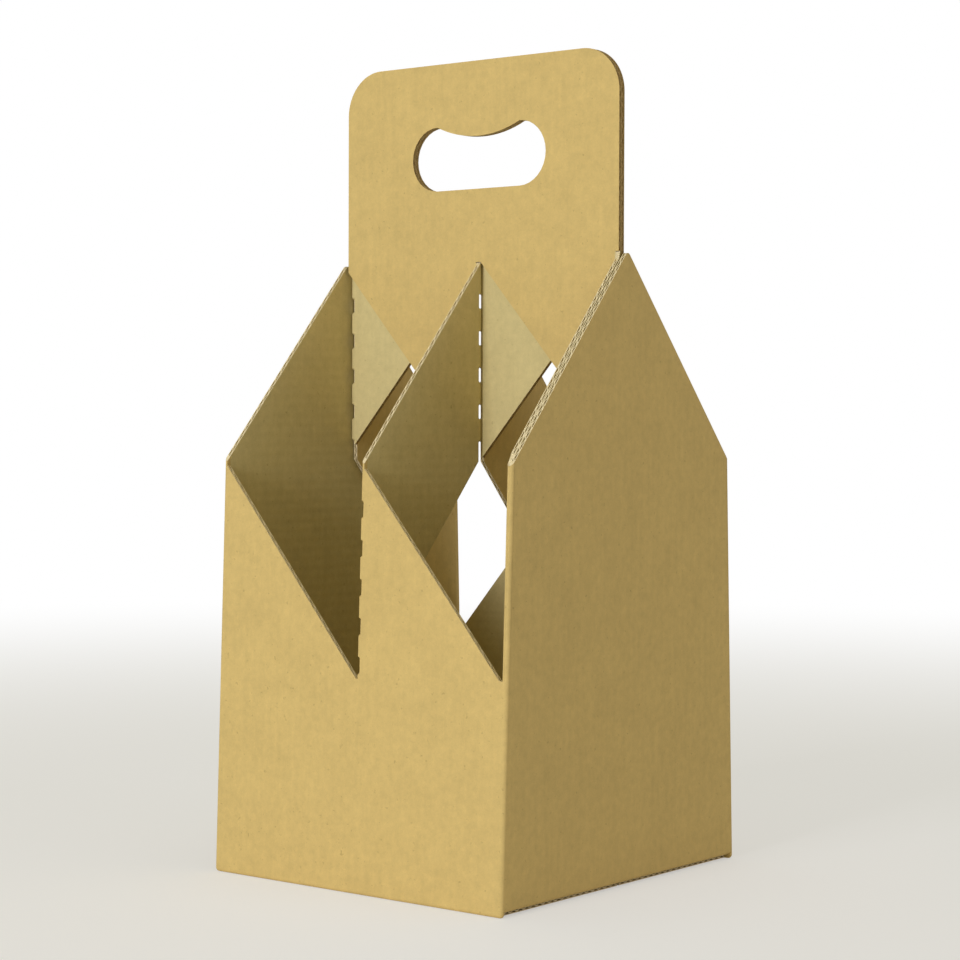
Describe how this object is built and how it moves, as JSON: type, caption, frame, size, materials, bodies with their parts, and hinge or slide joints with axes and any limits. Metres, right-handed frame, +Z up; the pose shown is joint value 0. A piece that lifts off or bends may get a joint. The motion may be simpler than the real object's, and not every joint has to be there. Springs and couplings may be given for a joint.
{
  "type": "cardboard bottle carrier",
  "caption": "Open corrugated-board bottle carrier folded from one sheet, with gable ends, a crossing divider and a tall handle with a hand hole.",
  "frame": {"origin": "centre of the base, on the surface the carrier stands on", "axes": "+Z up along the handle, +X from the left end wall to the right one, front wall towards -Y"},
  "size_m": [0.132, 0.142, 0.2956],
  "materials": {
    "kraft_board": "matte, uncoated kraft with fine fibre specks"
  },
  "bodies": {
    "root": {"folded_carrier": "kraft_board"}
  },
  "joints": []
}
